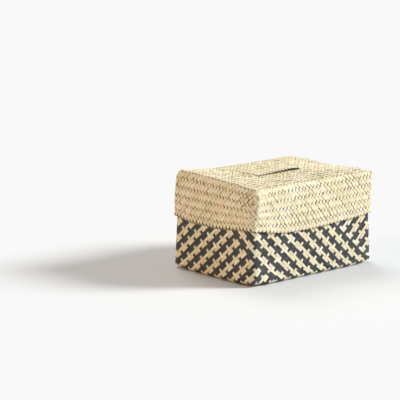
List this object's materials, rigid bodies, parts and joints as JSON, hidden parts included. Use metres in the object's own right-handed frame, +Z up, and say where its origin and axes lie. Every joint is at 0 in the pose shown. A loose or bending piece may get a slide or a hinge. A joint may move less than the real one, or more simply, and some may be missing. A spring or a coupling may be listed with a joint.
{
  "type": "woven lidded box",
  "caption": "Rectangular box plaited from flat palm strips, with a deep slip-over lid and a low strap handle on top, for storing small household things.",
  "frame": {"origin": "middle of the underside that the box stands on", "axes": "+X along the long side, +Y across it to the back, +Z up"},
  "size_m": [0.3, 0.214, 0.1823],
  "materials": {
    "two_tone_plait": "plaited palm leaf, black-dyed and natural strips, matte",
    "natural_plait": "plaited palm leaf, sun-dried natural, satin",
    "lining_plait": "plaited palm leaf, natural, matte",
    "palm_strip": "single palm leaf strip, satin"
  },
  "bodies": {
    "base": {"base_outer_weave": "two_tone_plait", "base_lining": "lining_plait", "base_rim_border": "two_tone_plait"},
    "lid": {"lid_outer_weave": "natural_plait", "lid_lining": "lining_plait", "lid_rim_border": "natural_plait", "handle_strap": "natural_plait", "handle_lashing_left": "palm_strip", "handle_lashing_right": "palm_strip"}
  },
  "joints": [
    {"name": "lid_lift", "type": "slide", "parent": "base", "child": "lid", "axis": [0, 0, 1], "range_m": [0, 0.2]}
  ]
}
